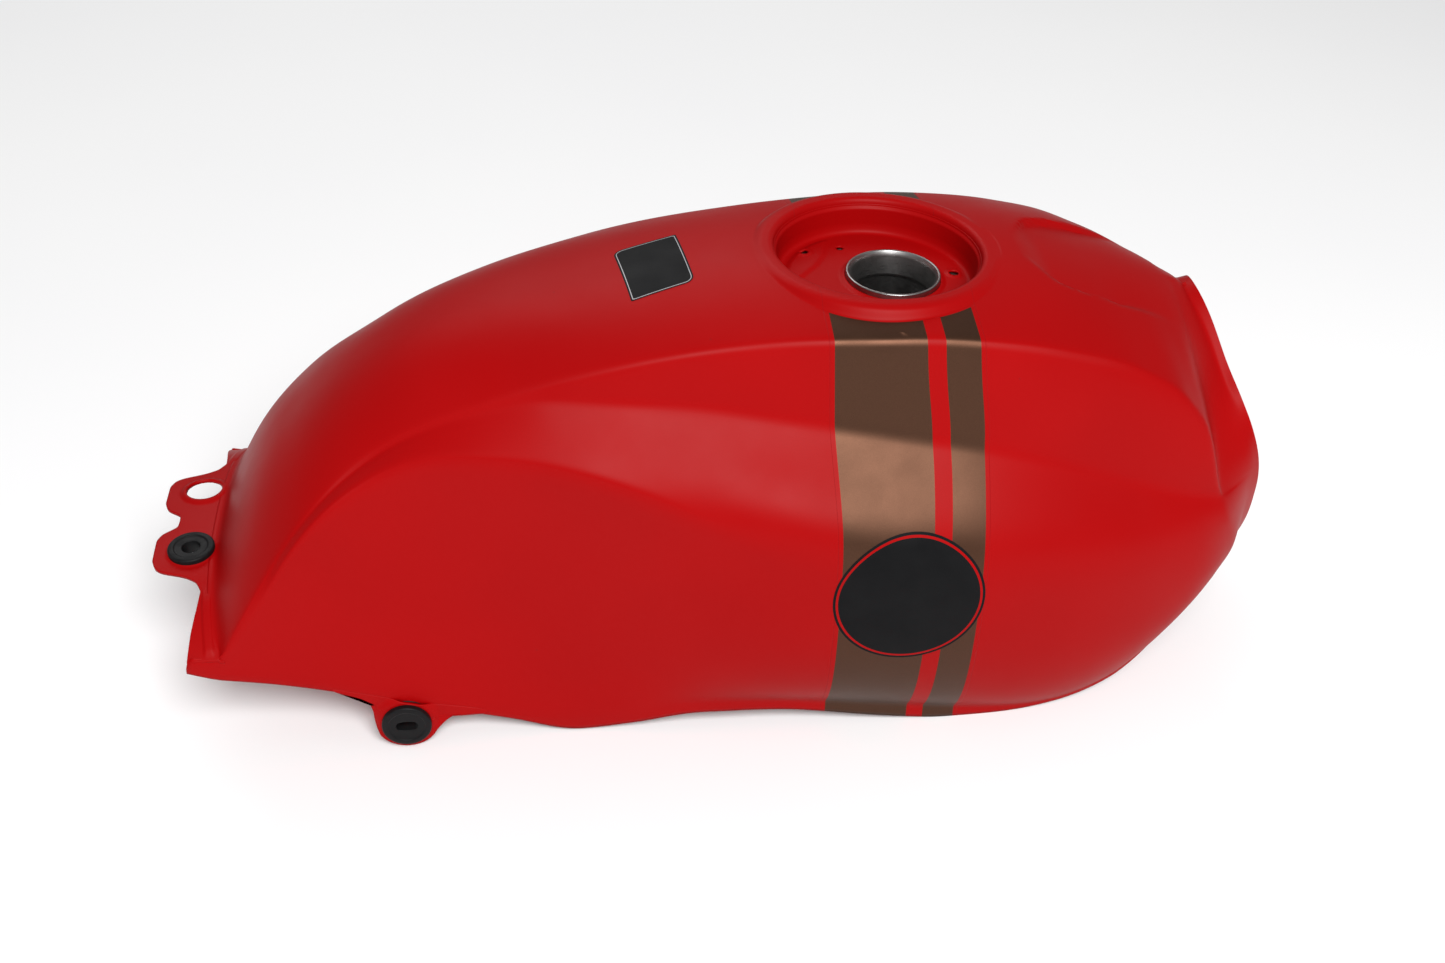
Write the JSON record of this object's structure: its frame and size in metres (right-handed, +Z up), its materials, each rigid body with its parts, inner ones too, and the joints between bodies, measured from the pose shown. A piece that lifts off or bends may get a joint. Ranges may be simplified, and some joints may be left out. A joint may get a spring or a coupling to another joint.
{
  "type": "motorcycle fuel tank",
  "caption": "Sculpted steel motorcycle fuel tank with knee panels, a round filler recess, a frame tunnel, rubber-bushed mounting tabs and a hinged level float inside.",
  "frame": {"origin": "centre of the tank's bounding box, on the ground under its lowest edge", "axes": "+X forwards to the steering head, +Y to the left, +Z up"},
  "size_m": [0.5762, 0.2508, 0.2326],
  "materials": {
    "paint": "satin red paint with bronze stripes over pressed steel",
    "bare_steel": "turned steel left bare",
    "zinc": "zinc-plated steel",
    "grommet_rubber": "moulded black rubber",
    "nitrile": "fuel-proof black foam and gasket rubber",
    "plastic": "moulded black plastic"
  },
  "bodies": {
    "tank": {"cap_screw_boss_1": "zinc", "cap_screw_boss_2": "zinc", "cap_screw_boss_3": "zinc", "filler_neck": "bare_steel", "filler_recess_cup": "paint", "front_saddle_left": "paint", "front_saddle_right": "paint", "fuel_outlet_bush": "zinc", "outer_skin_left": "paint", "outer_skin_right": "paint", "rear_grommet_right": "grommet_rubber", "rear_mount_bracket": "paint", "recess_drain_tube": "zinc", "sender_flange": "zinc", "sender_gasket": "nitrile", "sender_screw_1": "zinc", "sender_screw_2": "zinc", "sender_screw_3": "zinc", "sender_screw_4": "zinc", "sender_stem": "plastic", "sender_weld_ring": "zinc", "side_grommet_left": "grommet_rubber", "side_grommet_right": "grommet_rubber", "side_tab_left": "paint", "side_tab_right": "paint", "tunnel_pan": "paint"},
    "level_arm": {"float_arm": "zinc", "float": "nitrile"}
  },
  "joints": [
    {"name": "level_arm_swing", "type": "hinge", "parent": "tank", "child": "level_arm", "pos_m": [0.0311, 0.0685, 0.08], "axis": [0, -1, 0], "range_deg": [0, 80]}
  ]
}
